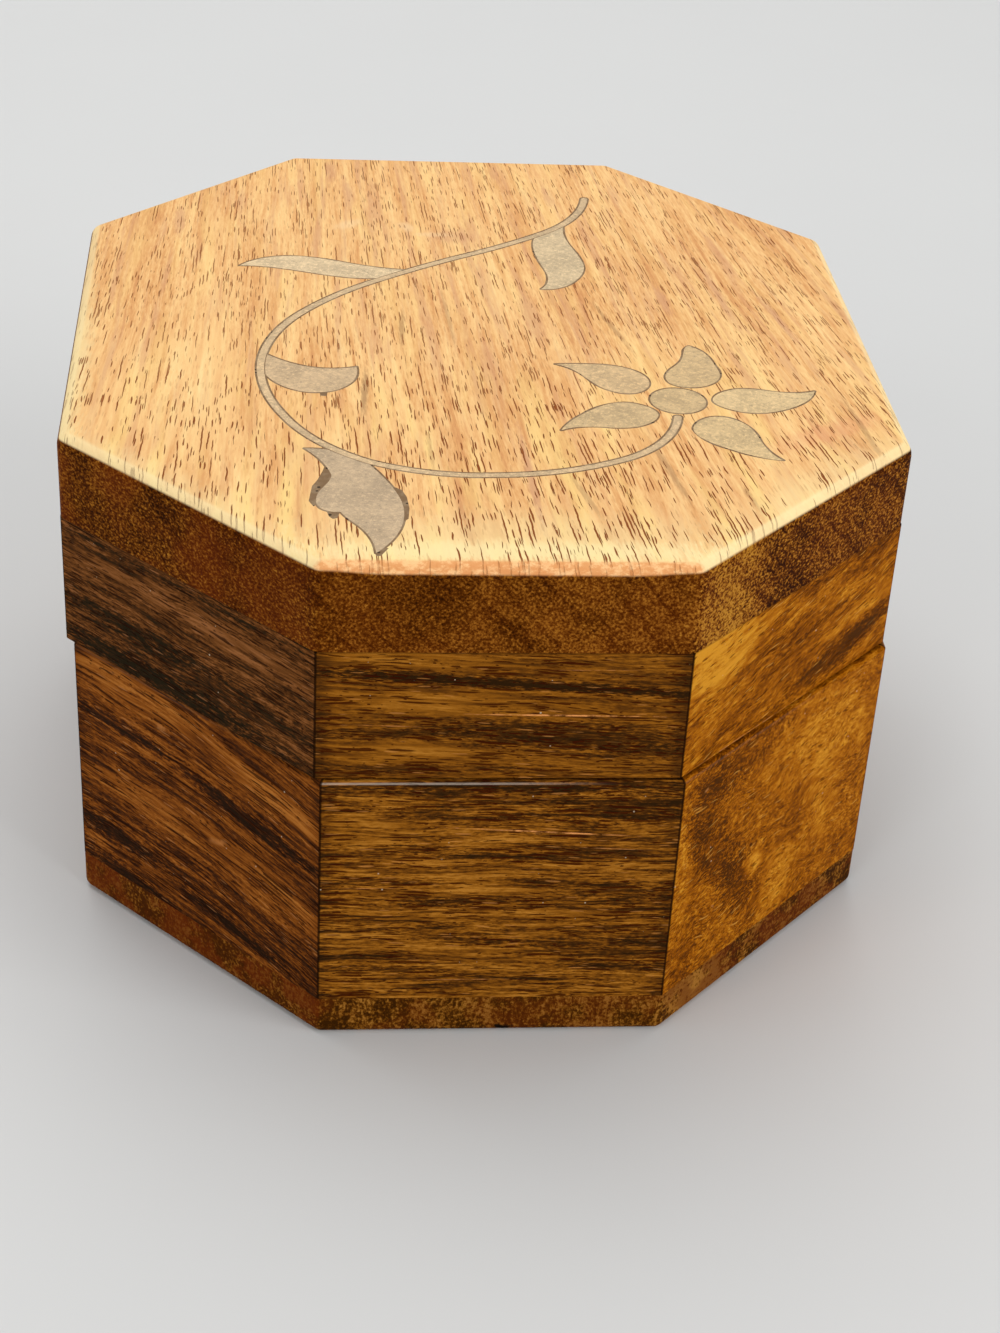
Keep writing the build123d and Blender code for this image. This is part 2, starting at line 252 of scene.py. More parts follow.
def layFloor(plan):
    bpy.ops.mesh.primitive_plane_add(size=plan["span"])
    floor = bpy.context.object
    floor.name = "floor"
    finish = Finish("floorPaint")
    flecks = finish.noise(finish.place(), plan["fleckSize"], 4.0)
    shade = finish.blend(flecks * plan["fleck"], plan["colour"], plan["dark"])
    floor.data.materials.append(finish.cover(
        shade, plan["rough"], flecks, plan["relief"], Specular_IOR_Level=plan["shine"]))


setCamera(cameraPlan)
setLamps(lampPlans)
setRoom(roomPlan)
layFloor(floorPlan)
bpy.context.scene.view_settings.view_transform = "Standard"
print("camera, lamps, room and floor set")


# wood: layers of noise stretched along the grain, from broad bands down to fine fibres
raggedBy = 1.6  # how far the fibres move the borders of marks


def growWood(finish, grain, look):  # a grain point is in millimetres, x along the fibres, y across them
    swayed = finish.sway(grain, look["swaySize"], look["swayBy"])
    tone = 0.5
    for index, (size, gain) in enumerate(look["layers"]):
        layer = finish.noise(swayed, size, 3.0, 0.6, (11 * index, 5 * index, 3 * index))
        tone = tone + gain * (layer - 0.5)
    return swayed, tone, layer


# lid board: pale and dry on top, dark and oiled on its edges
# a mark is its spot, its reach, its turn in degrees and its strength
lidBoardPlan = {
    "lean": 0.06,  # how much the grain leans from straight back in the middle
    "fan": 0.0025,  # how much more it leans for each millimetre to the right
    "roll": -38.0,  # degrees that the growth rings tilt about the grain
    "rough": 0.50, "relief": 0.10, "shine": 0.012,
    "wood": {
        "swaySize": (24, 6, 7), "swayBy": (0, 1.3, 1.3),
        "layers": [((60, 3.6, 9), 0.45), ((26, 1.1, 3.5), 0.55), ((8, 0.45, 1.2), 0.45),
                   ((1.8, 0.22, 0.4), 0.40)],
    },
    # bands are their size, where they start to show and are full, the shift of their noise and its detail
    "lineBands": ((34, 0.50, 5), 0.56, 0.70, (2, 8, 5), 2.0, 0.5),  # thin brown growth lines
    "yellowBands": ((24, 2.6, 7), 0.46, 0.70, (6, 3, 1)),
    "mauveBands": ((26, 1.3, 5), 0.50, 0.70, (9, 1, 4), 3.0),
    "mottleSize": (1.2, 1.2, 0.6),
    "top": [(0.22, tint(214, 152, 98)), (0.38, tint(229, 171, 110)), (0.50, tint(242, 190, 128)),
            (0.62, tint(250, 204, 139)), (0.80, tint(255, 219, 154))],
    "under": [(0.25, tint(96, 54, 22)), (0.45, tint(138, 86, 42)), (0.60, tint(164, 108, 58)),
              (0.80, tint(188, 132, 78))],
    "yellow": tint(255, 218, 140), "mauve": tint(212, 158, 118), "pink": tint(226, 152, 112),
    "grey": tint(158, 122, 86), "pale": tint(252, 216, 164), "paintedSheen": tint(255, 238, 178),
    # cream is the colour of the painted sheen near the rims
    "rust": tint(229, 161, 104), "pore": tint(148, 82, 42), "underPore": tint(70, 34, 12),
    # rim: a painted pale highlight on the rounded rim; lip and lipPale: the front rim's own rust colour
    "rimHighlight": tint(255, 231, 175), "lip": tint(230, 156, 96), "lipPale": tint(255, 199, 140),
    "marks": [((0, -57), (34, 3.2), 0, 0.16), ((-38, -18), (7, 16), 0, 0.12),
              ((-44, 20), (6, 20), 0, -0.08), ((14, 8), (4, 14), 5, -0.12),
              ((38, 30), (8, 20), 0, -0.06), ((-20, -34), (4, 9), 0, 0.10)],
    # painted sheen: pale bands along the front, diagonal and left rims of the top
    "paintedSheens": [((2, -56.4), (24, 2.4), 0, 0.34), ((0, -55.2), (27, 7.4), 0, 0.30),
               ((-40, -42.8), (18, 1.8), -45, 0.34), ((-39, -41.8), (20, 4.0), -45, 0.28),
               ((-49.8, -12), (2.4, 26), 0, 0.45), ((37.6, -42.0), (20, 4.6), 45, 0.24)],
    "rusts": [((0, -60.8), (26, 2.6), 0, 1.0)],
    "pinks": [((40.5, -27), (9, 2.0), 32, 0.35)],
    "greys": [((-14.6, -18), (0.45, 6.5), -3, 0.65), ((-9.4, 0.5), (0.4, 5), -3, 0.5),
              ((17.6, 1.5), (0.4, 7), 14, 0.45), ((-3.4, 4), (0.35, 8), 3, 0.35),
              ((44.8, -26), (0.4, 8), 7, 0.45), ((20, -37.6), (0.45, 8), 10, 0.50),
              ((28.4, -43.6), (0.4, 3), 12, 0.40), ((9.6, -43.6), (0.4, 5), 14, 0.45),
              ((-7.4, -33), (0.3, 5), 2, 0.35)],
    "mauves": [((3.7, -40), (0.5, 13), 2, 0.75), ((-17.6, 53), (0.8, 4), 0, 0.6),
               ((-38.4, 34), (0.8, 5), 0, 0.6), ((39.6, 5), (0.5, 9), 12, 0.6),
               ((33, 12), (0.6, 10), 6, 0.5), ((25.2, 10), (0.8, 4), 4, 0.6),
               ((7.4, 4), (1.3, 8), 4, 0.55), ((-1.6, 30), (3.4, 2.4), 0, 0.5),
               ((13, 45.4), (0.6, 4), 2, 0.5), ((6, 53.6), (0.7, 3.4), 0, 0.5),
               ((-15.2, 45), (0.7, 4), 4, 0.5), ((22.6, 45), (0.5, 5), 4, 0.5)],
    "pales": [((-15.5, 33.5), (2.4, 1.2), 40, 0.5), ((-7.5, 33), (1.0, 1.8), 20, 0.5),
              ((-4, 30.5), (2.6, 0.8), 0, 0.4)],
}
porePlan = {
    "slowSway": ((9, 3, 3), (0, 0.5, 0)), "quickSway": ((1.5, 0.8, 1), (0, 0.22, 0)),
    "stripBands": ((45, 3.2, 9), 0.36, 0.64, (5, 5, 8)),  # strips with more and fewer pores
    "depthSize": (5, 5, 5),  # patches where the pores are deep and dark
    "strokes": [  # size, share of the cells, how much more of them in front, radius, shift
        ((5.2, 0.42, 1), 0.46, -0.18, 0.18, (0, 0, 0)),
        ((9.0, 0.42, 1), 0.38, 0.22, 0.18, (0.3, 4.4, 0)),
        ((18, 0.46, 1), 0.38, 0.18, 0.17, (0.7, 9.1, 0)),
    ],
    "faint": ((3.4, 0.36, 1), 0.60, 0.26, (0.9, 7.7, 0)), "faintness": 0.22,
}
boardEdgePlan = {
    "speckleSize": (0.30, 0.70, 0.30), "goldenSize": (9, 9, 9),
    "rowBands": ((80, 1.1, 10), 0.36, 0.62, (3, 2, 7)),
    "ringBands": ((80, 0.7, 12), 0.56, 0.66, (1, 6, 2), 2.0, 0.5),
    "stops": [(0.22, tint(42, 15, 0)), (0.42, tint(74, 33, 1)), (0.56, tint(99, 52, 7)),
              (0.76, tint(146, 89, 24)), (1.00, tint(190, 134, 44))],
    "tone": 0.535, "dot": tint(176, 112, 42), "red": tint(116, 46, 8),
    "marks": [((25, -55), (6, 6), 0, 0.26), ((5, -59), (10, 4), 0, 0.06), ((-30, -50), (5, 5), 0, -0.06)],
    "reds": [((-25, -55), (6, 6), 0, 0.30)],
}


def leanBoard(finish, plan):  # the board's grain, fanned out a little from left to right
    turned = finish.place(boardMiddle, math.pi / 2)
    along = finish.axis(turned, "X")
    across = finish.axis(turned, "Y")
    lean = plan["fan"] * across * along - plan["lean"] * along
    return finish.point(along, across + lean, finish.axis(turned, "Z"))


def openPores(finish, plan, leaned, strips, depth, forward):
    wavy = finish.sway(finish.sway(leaned, *plan["slowSway"]), *plan["quickSway"])
    crowd = 0.50 + 0.90 * strips
    strokes = 0.0
    for size, share, more, radius, shift in plan["strokes"]:
        layer = finish.dashes(wavy, size, (share + more * forward) * crowd, radius, shift)
        strokes = layer.join("MAXIMUM", layer, strokes)
    return strokes * (0.40 + 0.75 * depth + 0.35 * forward), finish.dashes(wavy, *plan["faint"])


def finishBoardEdge(finish, plan, flat, swayed, tone, ragged):  # oiled end grain with golden flecks
    speckle = finish.noise(flat, plan["speckleSize"], 2.0, 0.65)
    golden = finish.noise(flat, plan["goldenSize"], 2.0, 0.6, (4, 4, 1))
    rows = finish.bands(swayed, *plan["rowBands"])
    rings = finish.bands(swayed, *plan["ringBands"])
    left, right = finish.side(frontLeft), finish.side(frontRight)
    edgeTone = plan["tone"] + 0.30 * (tone - 0.5) + 0.35 * (golden - 0.5) - 0.12 * rings
    edgeTone = edgeTone + (1.25 + 1.0 * right + 0.5 * left) * (speckle - 0.5)
    edgeTone = edgeTone + right * (0.12 * (rows - 0.5) - 0.03) + finish.marks(flat, plan["marks"], ragged)
    edge = finish.ramp(edgeTone, plan["stops"])
    dots = finish.step(speckle, 0.58, 0.68) * finish.step(golden, 0.36, 0.62) * (0.5 + 0.8 * rows)
    edge = finish.blend(dots * (0.16 + 0.48 * right - 0.08 * left), edge, plan["dot"])
    red = finish.marks(flat, plan["reds"], ragged)
    red = red.join("MAXIMUM", red, (0.15 + 0.25 * left) * finish.step(golden, 0.35, 0.65))
    return finish.blend(red, edge, plan["red"]), speckle


def finishLidBoard(plan):
    finish = Finish("lidBoardWood")
    flat = finish.place(boardMiddle)
    leaned = leanBoard(finish, plan)
    rolled = finish.node("Mapping", {"vector_type": "TEXTURE"}, {
        "Vector": leaned, "Rotation": (math.radians(plan["roll"]), 0, 0)})
    swayed, tone, fibres = growWood(finish, rolled, plan["wood"])
    ragged = raggedBy * (fibres - 0.5)
    lines = finish.bands(swayed, *plan["lineBands"])
    forward = finish.step(finish.axis(flat, "Y"), 0, -45)
    strips = finish.bands(swayed, *porePlan["stripBands"])
    depth = finish.noise(flat, porePlan["depthSize"], 2.0, 0.6, (8, 8, 2))
    pores, faint = openPores(finish, porePlan, leaned, strips, depth, forward)

    top = finish.ramp(tone - 0.12 * lines + finish.marks(flat, plan["marks"], ragged), plan["top"])
    yellow = (0.25 + 0.55 * forward) * finish.bands(swayed, *plan["yellowBands"])
    top = finish.blend(yellow, top, plan["yellow"])
    mauve = (0.55 - 0.30 * forward) * finish.bands(swayed, *plan["mauveBands"])
    top = finish.blend(mauve, top, plan["mauve"])
    for kind in ("pink", "mauve", "grey", "pale"):
        top = finish.blend(finish.marks(flat, plan[kind + "s"], ragged), top, plan[kind])
    mottle = finish.noise(flat, plan["mottleSize"], 3.0, 0.7, (7, 2, 5))
    # painted sheen near the rims, then the rust brown of the front lip
    for kind, rough, blotchy in (("paintedSheen", 1.0, 0.6), ("rust", 0.8, 1.2)):
        border = rough * ragged + blotchy * (mottle - 0.5)
        top = finish.blend(finish.marks(flat, plan[kind + "s"], border), top, plan[kind])
    top = finish.blend(pores, top, plan["pore"])
    top = finish.blend(porePlan["faintness"] * faint, top, plan["pore"])

    # the rounded rim: a painted pale highlight, but rust brown along the front
    up = finish.facing((0, 0, 1))
    front = finish.step(finish.facing((0, -1, 0)) - abs(finish.facing((1, 0, 0))), 0.02, 0.40)
    lip = finish.blend(finish.step(mottle, 0.44, 0.64), plan["lip"], plan["lipPale"])
    # the share of the rounded rim that takes the painted highlight on the sides and the lip colour along the
    # front
    rounded = finish.step(up, 0.995, 0.90) * (0.38 + 0.40 * mottle + 0.25 * front)
    top = finish.blend(rounded, top, finish.blend(front, plan["rimHighlight"], lip))

    edge, speckle = finishBoardEdge(finish, boardEdgePlan, flat, swayed, tone, ragged)
    under = finish.ramp(tone - 0.15 * lines, plan["under"])
    under = finish.blend(0.6 * pores, under, plan["underPore"])
    edge = finish.blend(finish.step(up, -0.5, -0.9), edge, under)
    midway = finish.step(abs(finish.axis(flat, "X")), 20.5, 13.0)
    topness = finish.step(up + 0.18 * front * midway, 0.42, 0.60)
    height = 0.3 * fibres - pores * topness + 0.25 * speckle * (1 - topness)
    colour = finish.blend(topness, edge, top)
    rough = plan["rough"] + 0.12 * pores
    return finish.cover(colour, rough, height, plan["relief"], Specular_IOR_Level=plan["shine"])


# staves: one look for each kind of wood, then the place and the marks of each stave
stripedWood = {
    "rough": 0.46, "relief": 0.06, "shine": 0.01,
    "swaySize": (11, 3, 4), "swayBy": (0, 1.2, 1.0),
    "layers": [((34, 2.4, 9), 0.46), ((16, 0.85, 3), 0.98), ((6, 0.34, 1), 1.10), ((0.9, 0.20, 0.4), 0.80)],
    "stops": [(0.14, tint(44, 26, 8)), (0.32, tint(70, 39, 10)), (0.45, tint(103, 59, 13)),
              (0.60, tint(140, 85, 19)), (0.84, tint(176, 116, 40))],
    "clusterBands": ((9, 1.6, 3), 0.38, 0.62, (4, 9, 7), 2.0, 0.5),
    "dashes": [((8.0, 0.50), 0.68, 0.27), ((3.4, 0.38), 0.60, 0.28), ((1.0, 0.40), 0.25, 0.22)],
    "dash": tint(58, 15, 1), "depth": 0.85, "lit": tint(190, 126, 62), "scratch": tint(226, 150, 84),
}
calmWood = {
    **stripedWood,
    "layers": [((34, 2.4, 9), 0.35), ((16, 0.85, 3), 0.50), ((6, 0.34, 1), 0.65), ((0.9, 0.20, 0.4), 0.55)],
}
darkWood = {
    **stripedWood,
    "layers": [((34, 2.4, 9), 0.45), ((16, 0.85, 3), 0.55), ((6, 0.34, 1), 0.90), ((0.9, 0.20, 0.4), 0.75)],
    "stops": [(0.14, tint(34, 26, 12)), (0.32, tint(54, 34, 15)), (0.45, tint(80, 45, 17)),
              (0.60, tint(116, 69, 30)), (0.84, tint(154, 98, 54))],
    "dash": tint(36, 12, 2), "depth": 0.75, "lit": tint(160, 106, 66),
}
orangeWood = {
    **stripedWood,
    "layers": [((34, 2.4, 9), 0.46), ((16, 0.85, 3), 0.78), ((6, 0.34, 1), 0.80), ((0.9, 0.20, 0.4), 0.65)],
    "swaySize": (14, 4, 4), "swayBy": (0, 1.6, 1.0),
    "stops": [(0.14, tint(38, 22, 10)), (0.32, tint(64, 33, 13)), (0.45, tint(98, 50, 13)),
              (0.60, tint(138, 76, 22)), (0.84, tint(178, 110, 44))],
    "dashes": [((13, 0.60), 0.65, 0.27), ((4.4, 0.46), 0.60, 0.27), ((1.0, 0.40), 0.25, 0.22)],
    "dash": tint(40, 14, 3), "depth": 0.80, "lit": tint(184, 122, 70),
}
goldenWood = {
    **stripedWood,
    "swaySize": (7, 5, 6), "swayBy": (0, 2.0, 1.6),
    "layers": [((16, 4.5, 9), 0.60), ((5, 1.2, 3), 0.70), ((1.8, 0.5, 1), 0.65), ((0.6, 0.24, 0.4), 0.60)],
    "stops": [(0.14, tint(72, 38, 4)), (0.32, tint(103, 53, 2)), (0.45, tint(134, 72, 3)),
              (0.60, tint(168, 98, 10)), (0.84, tint(208, 142, 38))],
    "dashes": [((5.0, 0.50), 0.45, 0.25), ((1.8, 0.42), 0.50, 0.28)],
    "dash": tint(80, 36, 1), "depth": 0.65, "lit": tint(212, 156, 70),
}
cloudyWood = {
    **goldenWood,
    "swaySize": (6, 5, 6), "swayBy": (3.0, 3.0, 3.0),
    "layers": [((12, 9, 9), 0.30), ((3.4, 2.2, 2), 0.50), ((1.2, 0.6, 0.8), 0.75),
               ((0.45, 0.26, 0.4), 0.85)],
    "dashes": [((1.6, 0.50), 0.50, 0.28)],
}

# a stave's marks lie across and up its side, from the side's middle at the foot of the box
stavePlans = {
    "body_stave_front": {
        "wood": stripedWood, "seed": 1.7, "lean": 0.02, "bend": 0.0, "stain": 0.10,
        "marks": [((2, 36.3), (20, 0.6), 0, -0.14), ((13, 33.5), (9.5, 2.4), 0, -0.16),
                  ((-9.5, 32.8), (5, 0.7), 0, -0.15), ((-12, 27.7), (6.5, 0.45), -2, -0.20),
                  ((-1, 26.5), (7, 0.6), -2, -0.14), ((-13.5, 23), (6.5, 0.9), 0, -0.16),
                  ((14.5, 21.3), (7, 1.1), -3, -0.16), ((-5, 20), (8, 0.4), 0, -0.20),
                  ((-6, 15.6), (6, 1.3), 0, -0.14), ((9, 13.8), (11, 0.7), 0, -0.16),
                  ((13, 9.8), (8, 0.9), 0, -0.16), ((-12, 10), (8, 0.6), 0, -0.12),
                  ((-8, 25), (9, 1.0), -2, 0.10), ((-2, 18.1), (14, 0.8), 0, 0.12),
                  ((1, 12), (8, 0.8), 0, 0.12), ((-15.5, 30.3), (5, 1.8), 0, 0.12),
                  ((-4, 21.6), (11, 0.6), 0, 0.12)],
        "scratches": [((5.5, 30.0), (9.6, 0.11), -3.4, 1.0), ((-3, 8.3), (5, 0.07), 0, 0.5),
                      ((13, 27.6), (4, 0.06), -3, 0.5), ((-15, 22), (3, 0.06), 0, 0.5)],
        # strength of the painted highlight along the upper edge
        "rubbedAndHighlight": 0.5,
    },
    "lid_stave_front": {
        "wood": calmWood, "seed": 4.2, "lean": 0.05, "bend": 0.0, "stain": 0.14,
        "marks": [((0, 50.1), (24, 0.66), -4, -0.38), ((7.6, 43.0), (14, 1.9), -3, -0.20),
                  ((-13, 43.4), (8, 0.7), 0, -0.16), ((-8, 38.6), (11, 0.5), 0, -0.14),
                  ((15.6, 41), (5.5, 1.1), 0, -0.12), ((-9.9, 52.9), (10, 0.8), -2, 0.16),
                  ((-9, 48.4), (10, 0.8), -2, 0.12), ((0, 46.6), (12, 0.8), -2, 0.10),
                  ((-11.4, 40.8), (8, 1.0), 0, 0.12)],
        "scratches": [((7.5, 45.8), (9.5, 0.11), -0.8, 1.0), ((-13, 44.4), (3.5, 0.06), -2, 0.5),
                      ((10, 51.8), (5, 0.05), 0, 0.4)],
    },
    "body_stave_front_left": {
        "wood": orangeWood, "seed": 7.9, "lean": 0.12, "bend": 0.003, "stain": 0.06,
        "marks": [((-9, 34.8), (13, 1.9), -3, 0.20), ((13.6, 31), (9, 1.8), -12, 0.20),
                  ((-14, 28.5), (9, 1.0), 0, -0.28), ((9.6, 25.7), (12, 1.1), -9, -0.32),
                  ((-9, 20), (9, 0.9), 0, 0.16), ((12.6, 18.5), (9, 1.4), -11, 0.14),
                  ((-15, 11.5), (8, 1.3), -2, -0.26), ((6.6, 8.3), (9, 0.8), -10, -0.32),
                  ((-14, 6.2), (9, 1.1), 0, -0.2), ((0, 8), (26, 6), -4, -0.10),
                  ((-6, 38), (16, 0.5), 0, 0.16)],
        "scratches": [((-5.5, 31.8), (0.9, 0.5), 0, 0.35), ((4, 20), (1.6, 0.5), 20, 0.3)],
    },
    "lid_stave_front_left": {
        "wood": darkWood, "seed": 9.3, "lean": 0.03, "bend": 0.0006,
        "marks": [((-11, 43.8), (15, 1.2), 0, -0.18), ((-6, 38.6), (20, 1.3), -1, -0.28),
                  ((-1.4, 50.2), (18, 1.2), 0, 0.18), ((11, 48.8), (9, 1.1), -3, 0.14),
                  ((16, 40.6), (4, 0.6), -12, 0.16), ((16, 54.4), (5, 0.5), 0, -0.3),
                  ((0, 53), (22, 0.3), 0, -0.16), ((0, 45), (30, 30), 0, -0.03),
                  ((6, 41.6), (16, 3.0), 0, -0.12)],
    },
    "body_stave_front_right": {
        "wood": cloudyWood, "seed": 12.4, "lean": -0.10, "bend": 0.0,
        "marks": [((-9, 34.5), (9, 3), 12, -0.13), ((-15.5, 31), (4, 6), 0, -0.14),
                  ((-13, 23), (8, 3.0), -53, -0.19), ((-7, 16), (5, 3.4), -60, -0.20),
                  ((-3, 10), (4, 4), 0, -0.12), ((8.6, 30), (11, 7), 0, 0.12),
                  ((1.6, 11), (3.6, 5.5), 0, 0.20), ((-4, 16.4), (1.8, 1.8), 0, 0.34),
                  ((9.6, 19), (4, 7), 0, 0.12), ((-19.5, 20), (2, 14), 0, 0.12),
                  ((-17.4, 9), (3.5, 5), 0, -0.12)],
        "scratches": [((-16, 33.6), (0.5, 0.25), 20, 0.4), ((-12, 14.3), (0.4, 0.2), -40, 0.6)],
    },
    "lid_stave_front_right": {
        "wood": goldenWood, "seed": 15.8, "lean": -0.20, "bend": 0.0,
        "marks": [((-16.4, 51.5), (9, 4.6), 10, 0.32), ((9.6, 40.6), (13, 1.8), 11, -0.26),
                  ((9.6, 53.2), (11, 0.9), 3, -0.14), ((-8, 47.5), (10, 0.6), 12, -0.14),
                  ((4.6, 46.8), (8, 0.35), 10, -0.22), ((13.6, 45), (7, 1.3), 8, 0.12),
                  ((-0.4, 38.8), (3, 1.2), 5, 0.14)],
        "scratches": [((-8, 37.4), (10, 0.14), 0, 0.5)],
    },
    "body_stave_right": {"wood": stripedWood, "seed": 18.1, "lean": -0.03, "bend": 0.0},
    "lid_stave_right": {"wood": orangeWood, "seed": 21.6, "lean": 0.02, "bend": 0.0},
    "body_stave_back_right": {"wood": darkWood, "seed": 24.4, "lean": 0.05, "bend": 0.002},
    "lid_stave_back_right": {"wood": stripedWood, "seed": 27.2, "lean": -0.04, "bend": 0.0},
    "body_stave_back": {"wood": orangeWood, "seed": 30.5, "lean": 0.0, "bend": 0.001},
    "lid_stave_back": {"wood": stripedWood, "seed": 33.3, "lean": 0.03, "bend": 0.0},
    "body_stave_back_left": {"wood": stripedWood, "seed": 36.7, "lean": 0.06, "bend": 0.0},
    "lid_stave_back_left": {"wood": goldenWood, "seed": 39.1, "lean": -0.08, "bend": 0.0},
    "body_stave_left": {"wood": orangeWood, "seed": 42.9, "lean": -0.02, "bend": 0.001},
    "lid_stave_left": {"wood": darkWood, "seed": 45.2, "lean": 0.02, "bend": 0.0},
}
sideNames = ("front", "front_right", "right", "back_right", "back", "back_left", "left", "front_left")
sideTurn = math.pi / 4  # from each side to the next
mitreSlope = math.tan(sideTurn / 2)

# each width is where the line starts to show and where it is full, in millimetres from its middle
jointPlan = {
    # dark is the colour of the joints and of the painted shade in the seam between lid and body
    "dark": tint(26, 10, 2), "mitre": (0.24, 0.08), "seam": (0.22, 0.10), "glue": (0.25, 0.05),
    # colour, width and place of the painted highlight along the body staves' upper edge
    "paintedHighlight": tint(196, 180, 164), "paintedHighlightWidth": (0.13, 0.05), "paintedHighlightBelow": 0.26,
    "speck": tint(206, 184, 156), "specks": ((2.2, 2.2, 1), 0.10, 0.05),
}
litDashes = ((3.6, 0.36, 1), 0.12, 0.24, (8.2, 1.6, 0))  # pale flecks
stainWidth = (2.4, 0.2)  # how far from a mitre its stain starts and is full
skinDepth = (1.0, 0.5)  # marks are on the outside only, down to here
scratchBands = ((1.6, 1.6, 1), 0.34, 0.58, (0, 0, 0), 3.0)  # what breaks the scratches up


def strokeWood(finish, look, swayed, tone):  # short dark strokes, in clusters and where the tone is dark
    cluster = finish.bands(swayed, *look["clusterBands"])
    strokes = 0.0
    for index, (size, share, radius) in enumerate(look["dashes"]):
        crowd = share * (0.3 + cluster) + 0.4 * (0.5 - tone)
        layer = finish.dashes(swayed, (*size, 1), crowd, radius, (3.3 * index, 5.1 * index, 0))
        strokes = layer.join("MAXIMUM", layer, strokes)
    return strokes


def finishStave(name, plan, middle, turn, length, low, high):
    look = plan["wood"]
    finish = Finish(name + "Wood")
    local = finish.place(middle, turn)
    along = finish.axis(local, "X")
    deep = finish.axis(local, "Y")  # 0 on the outside, growing inwards
    up = finish.axis(local, "Z")
    face = finish.point(along, up, 0)
    outside = finish.step(deep, *skinDepth)
    toEnd = length / 2 - abs(along)
    bent = up + plan["lean"] * along + plan["bend"] * along * along + 0.8 * deep
    grain = finish.point(along, bent + 30 * plan["seed"], deep + 20 * plan["seed"])  # each from other wood
    swayed, tone, fibres = growWood(finish, grain, look)
    stain = plan.get("stain", 0.0) * finish.step(toEnd, *stainWidth)
    marks = finish.marks(face, plan.get("marks", []), 2.0 * (fibres - 0.5))
    tone = tone + outside * (marks - stain)
    strokes = strokeWood(finish, look, swayed, tone)
    colour = finish.blend(look["depth"] * strokes, finish.ramp(tone, look["stops"]), look["dash"])
    colour = finish.blend(0.5 * finish.dashes(swayed, *litDashes), colour, look["lit"])
    if "scratches" in plan:
        broken = outside * finish.bands(face, *scratchBands)
        scratches = finish.marks(face, plan["scratches"], raggedBy * (fibres - 0.5))
        colour = finish.blend(broken * scratches, colour, look["scratch"])

    jointsAndSeamShade = finish.step(toEnd - mitreSlope * deep, *jointPlan["mitre"])
    if name.startswith("lid"):  # painted shade along the seam below, and a fainter dark glue line above
        seam = finish.step(up - low, *jointPlan["seam"])
        jointsAndSeamShade = jointsAndSeamShade + outside * (seam + 0.5 * finish.step(high - up, *jointPlan["glue"]))
    else:  # a painted highlight: a pale line along the upper edge, where the arris catches the light, fading to the right
        paintedHighlight = finish.step(abs(high - up - jointPlan["paintedHighlightBelow"]), *jointPlan["paintedHighlightWidth"])
        paintedHighlight = paintedHighlight * finish.step(along, 0.35 * length, -0.1 * length)
        colour = finish.blend(plan.get("rubbedAndHighlight", 0.05) * paintedHighlight, colour, jointPlan["paintedHighlight"])
    # dark joints, and on the lid staves painted shade along the seam
    colour = finish.blend(0.85 * jointsAndSeamShade, colour, jointPlan["dark"])
    specks = finish.dashes(face, *jointPlan["specks"])
    colour = finish.blend(0.7 * outside * specks, colour, jointPlan["speck"])
    rough = look["rough"] + 0.16 * (fibres - 0.5) + 0.12 * strokes
    return finish.cover(
        colour, rough, 0.5 * fibres - strokes, look["relief"], Specular_IOR_Level=look["shine"])


# base board: end grain round its edge
baseBoardPlan = {
    "rough": 0.5, "relief": 0.05, "shine": 0.012,
    "wood": {
        "swaySize": (20, 3, 4), "swayBy": (0, 1.8, 1.2),
        "layers": [((80, 2.4, 10), 0.70), ((30, 0.9, 3.0), 0.80), ((3, 0.4, 1.0), 0.80),
                   ((0.8, 0.3, 0.4), 0.80)],
    },
    "speckleSize": (0.40, 0.40, 0.40), "blotchSize": (5, 5, 4), "rowSize": (2.4, 2.4, 0.5),
    "stops": [(0.20, tint(44, 26, 2)), (0.38, tint(74, 42, 5)), (0.50, tint(101, 61, 12)),
              (0.62, tint(132, 85, 24)), (0.82, tint(164, 112, 44))],
    "red": tint(112, 46, 8), "redder": tint(92, 34, 6), "chipShade": tint(20, 10, 4),
    "marks": [((25, -55), (6, 6), 0, 0.30), ((3.4, -59), (1.5, 2), 0, -0.16), ((38, -41), (7, 7), 0, -0.08)],
    "shadedChips": [((1.7, 0.7), (1.0, 0.45), 6, 1.0), ((1.0, 1.0), (0.5, 0.35), 0, 0.9)],  # on the front: dents painted near-black as their shade, with a bump
}


